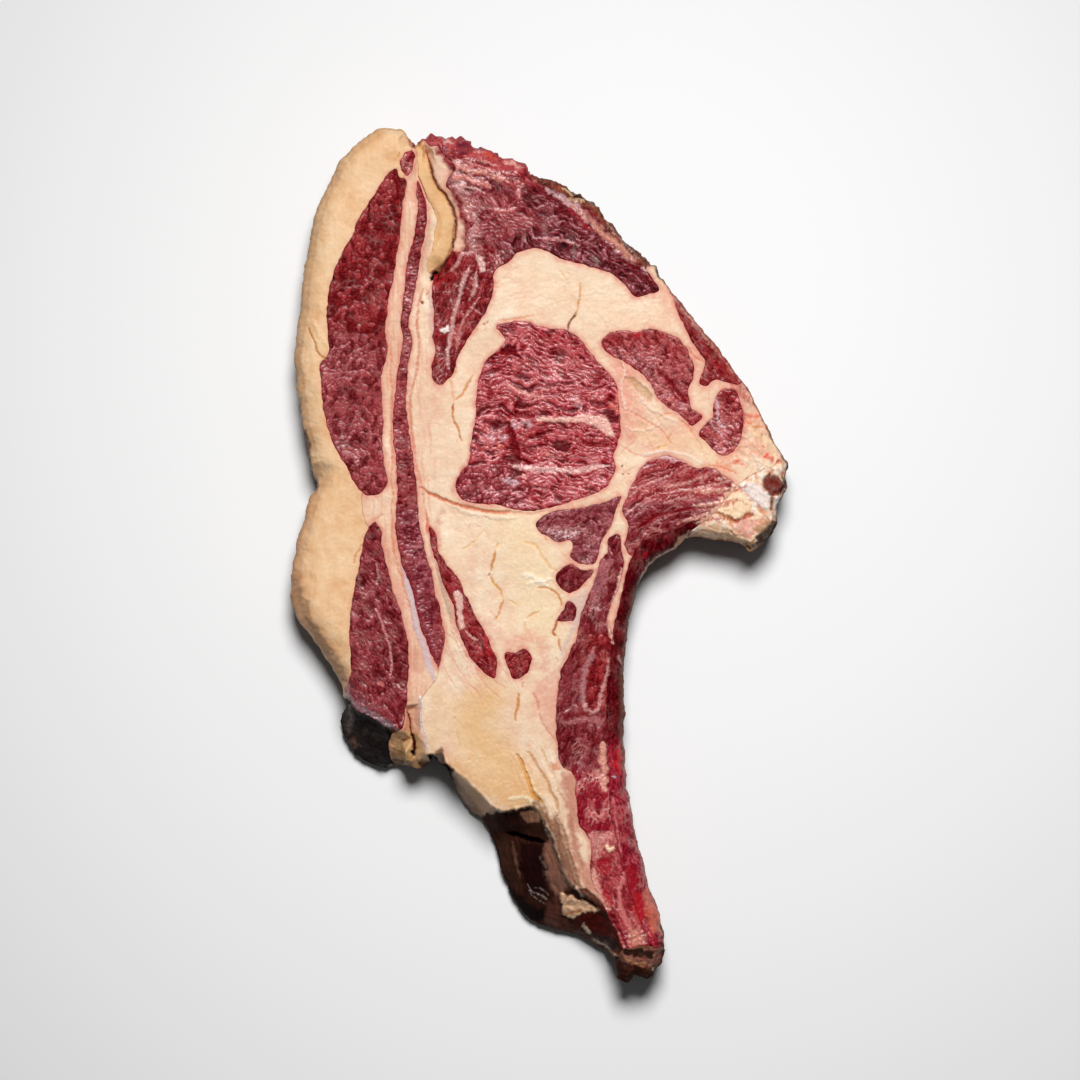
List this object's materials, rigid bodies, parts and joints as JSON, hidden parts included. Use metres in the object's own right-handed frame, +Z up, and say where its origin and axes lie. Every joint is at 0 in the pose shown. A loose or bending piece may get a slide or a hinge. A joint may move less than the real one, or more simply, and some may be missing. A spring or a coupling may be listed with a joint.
{
  "type": "bone-in beef rib steak",
  "caption": "Thick raw aged rib steak cut on the bone, lying flat: lean muscles set in pale fat, a rounded fat cap, a dried crust, a chine bone and a long curved rib tail.",
  "frame": {"origin": "centre of the bounding box on the flat underside, on the surface that the steak lies on", "axes": "+Z up out of the shown cut face, +Y from the rib tail towards the thick end with the fat cap, +X towards the chine bone"},
  "size_m": [0.2246, 0.3854, 0.0357],
  "materials": {
    "lean_meat": "moist deep crimson muscle with fine fibres, pale marbling and small wet highlights",
    "dried_meat": "dark dried red membrane over meat, slightly glossy, browner towards the edge",
    "outer_fat": "waxy cream fat that turns golden tan and brown at the dried rim",
    "inner_fat": "soft cream and peach fat with cracks and pinker borders beside the muscles",
    "bone": "rough pale sawn bone with crumbly red and brown marrow"
  },
  "bodies": {
    "root": {"fat_cap": "outer_fat", "fat_seam": "inner_fat", "fat_fold": "outer_fat", "fat_wedge": "inner_fat", "fat_lump": "inner_fat", "fat_main": "inner_fat", "outer_muscle_tip": "lean_meat", "outer_muscle_upper": "lean_meat", "outer_muscle_lower": "lean_meat", "strip_muscle": "lean_meat", "cap_muscle": "lean_meat", "rib_eye": "lean_meat", "upper_seam_muscle": "lean_meat", "round_seam_muscle": "lean_meat", "edge_muscle": "lean_meat", "upper_rib_muscle": "lean_meat", "lower_rib_muscle": "lean_meat", "wedge_muscle": "lean_meat", "lower_wedge_muscle": "lean_meat", "seam_muscle": "lean_meat", "inner_strip_muscle": "lean_meat", "hook_muscle": "lean_meat", "rib_lining": "dried_meat", "rib_bone": "bone", "rib_tip": "bone", "chine_bone": "bone"}
  },
  "joints": []
}
